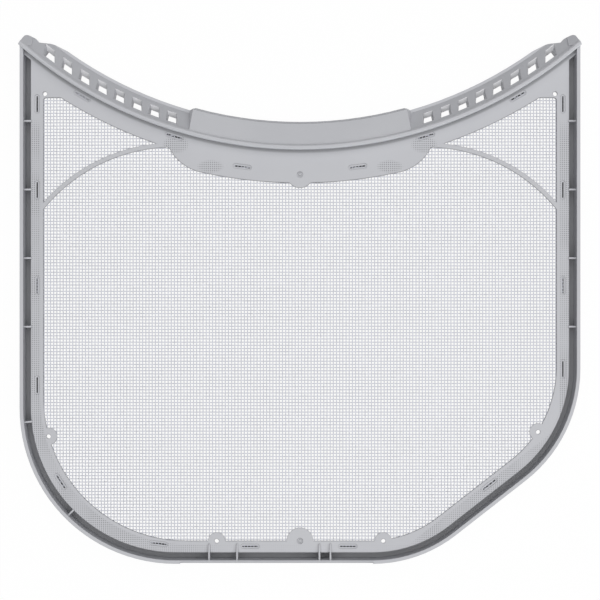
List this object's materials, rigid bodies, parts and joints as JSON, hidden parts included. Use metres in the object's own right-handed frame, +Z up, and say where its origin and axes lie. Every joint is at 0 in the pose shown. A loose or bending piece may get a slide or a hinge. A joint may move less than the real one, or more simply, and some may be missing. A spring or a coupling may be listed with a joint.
{
  "type": "tumble dryer lint filter",
  "caption": "Flat lint filter for a tumble dryer: a moulded grey frame with a bowed top bar, finger grip, windowed bands and a cut lower corner, moulded round a fine woven screen.",
  "frame": {"origin": "under the middle of the filter's box, on the surface it lies on", "axes": "+X across the filter, +Y towards the grip, +Z up out of the lint side"},
  "size_m": [0.3614, 0.34, 0.0175],
  "materials": {
    "grey_plastic": "moulded, fine matt texture",
    "woven_mesh": "plain woven monofilament"
  },
  "bodies": {
    "root": {"filter_frame": "grey_plastic", "mesh_screen": "woven_mesh"}
  },
  "joints": []
}
